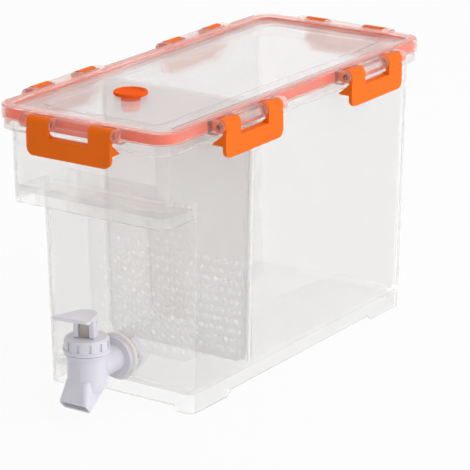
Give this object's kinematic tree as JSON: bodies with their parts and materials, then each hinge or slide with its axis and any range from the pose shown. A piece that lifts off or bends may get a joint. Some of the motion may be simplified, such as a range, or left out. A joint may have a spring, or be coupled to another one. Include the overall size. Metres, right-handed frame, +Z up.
{
  "type": "drink dispenser",
  "caption": "Long clear drink dispenser with a nose over a lever spigot, an upright strainer board inside, and a clear lid with hinged orange clips and a vent plug",
  "frame": {"origin": "centre of the whole outline seen from above, clips and lever included, on the surface that the feet stand on", "axes": "+X to the right seen from the spigot, +Y to the rear away from the spigot, +Z up"},
  "size_m": [0.1492, 0.3302, 0.1886],
  "materials": {
    "clear_plastic": "clear, glossy",
    "frosted_plastic": "milky, translucent",
    "orange_plastic": "satin gloss",
    "orange_silicone": "soft, satin",
    "white_plastic": "satin gloss",
    "brown_plastic": "translucent",
    "clear_silicone": "translucent, soft",
    "white_rubber": "matte",
    "spring_steel": "bare wire"
  },
  "bodies": {
    "container": {"container": "clear_plastic", "strainer_partition": "frosted_plastic", "spigot_body": "white_plastic", "spigot_cap": "white_plastic", "spigot_nut": "white_plastic", "outer_washer": "clear_silicone", "inner_washer": "clear_silicone", "valve_spring": "spring_steel"},
    "lid": {"lid": "clear_plastic", "lid_seal": "orange_silicone"},
    "latch_right_front": {"latch_right_front": "orange_plastic"},
    "latch_right_rear": {"latch_right_rear": "orange_plastic"},
    "latch_rear": {"latch_rear": "orange_plastic"},
    "latch_left_rear": {"latch_left_rear": "orange_plastic"},
    "latch_left_front": {"latch_left_front": "orange_plastic"},
    "latch_front": {"latch_front": "orange_plastic"},
    "vent_plug": {"vent_plug": "orange_silicone"},
    "stem": {"valve_stem": "brown_plastic", "stem_ring": "white_rubber", "valve_stopper": "white_rubber", "lever_pin": "white_plastic"},
    "lever": {"lever": "white_plastic"}
  },
  "joints": [
    {"name": "lid_lift", "type": "slide", "parent": "container", "child": "lid", "axis": [0, 0, 1], "range_m": [0, 0.06]},
    {"name": "latch_right_front_open", "type": "hinge", "parent": "lid", "child": "latch_right_front", "pos_m": [0.0702, -0.06313, 0.1832], "axis": [0, -1, 0], "range_deg": [0, 110]},
    {"name": "latch_right_rear_open", "type": "hinge", "parent": "lid", "child": "latch_right_rear", "pos_m": [0.0702, 0.07807, 0.1832], "axis": [0, -1, 0], "range_deg": [0, 110]},
    {"name": "latch_rear_open", "type": "hinge", "parent": "lid", "child": "latch_rear", "pos_m": [0, 0.16067, 0.1832], "axis": [1, 0, 0], "range_deg": [0, 110]},
    {"name": "latch_left_rear_open", "type": "hinge", "parent": "lid", "child": "latch_left_rear", "pos_m": [-0.0702, 0.07807, 0.1832], "axis": [0, 1, 0], "range_deg": [0, 110]},
    {"name": "latch_left_front_open", "type": "hinge", "parent": "lid", "child": "latch_left_front", "pos_m": [-0.0702, -0.06313, 0.1832], "axis": [0, 1, 0], "range_deg": [0, 110]},
    {"name": "latch_front_open", "type": "hinge", "parent": "lid", "child": "latch_front", "pos_m": [0, -0.14573, 0.1832], "axis": [-1, 0, 0], "range_deg": [0, 110]},
    {"name": "vent_pull", "type": "slide", "parent": "lid", "child": "vent_plug", "axis": [0, 0, 1], "range_m": [0, 0.014]},
    {"name": "stem_lift", "type": "slide", "parent": "container", "child": "stem", "axis": [0, 0, 1], "range_m": [0, 0.00148], "deforming": ["valve_spring"]},
    {"name": "lever_press", "type": "hinge", "parent": "stem", "child": "lever", "pos_m": [0, -0.13553, 0.06], "axis": [0.9563, 0.2924, 0], "range_deg": [0, 25], "stiffness_Nm_per_rad": 0.004, "springref_deg": -17.19}
  ],
  "couplings": [
    {"joint": "lever_press", "follows": "stem_lift", "rad_per_m": 294.1}
  ]
}
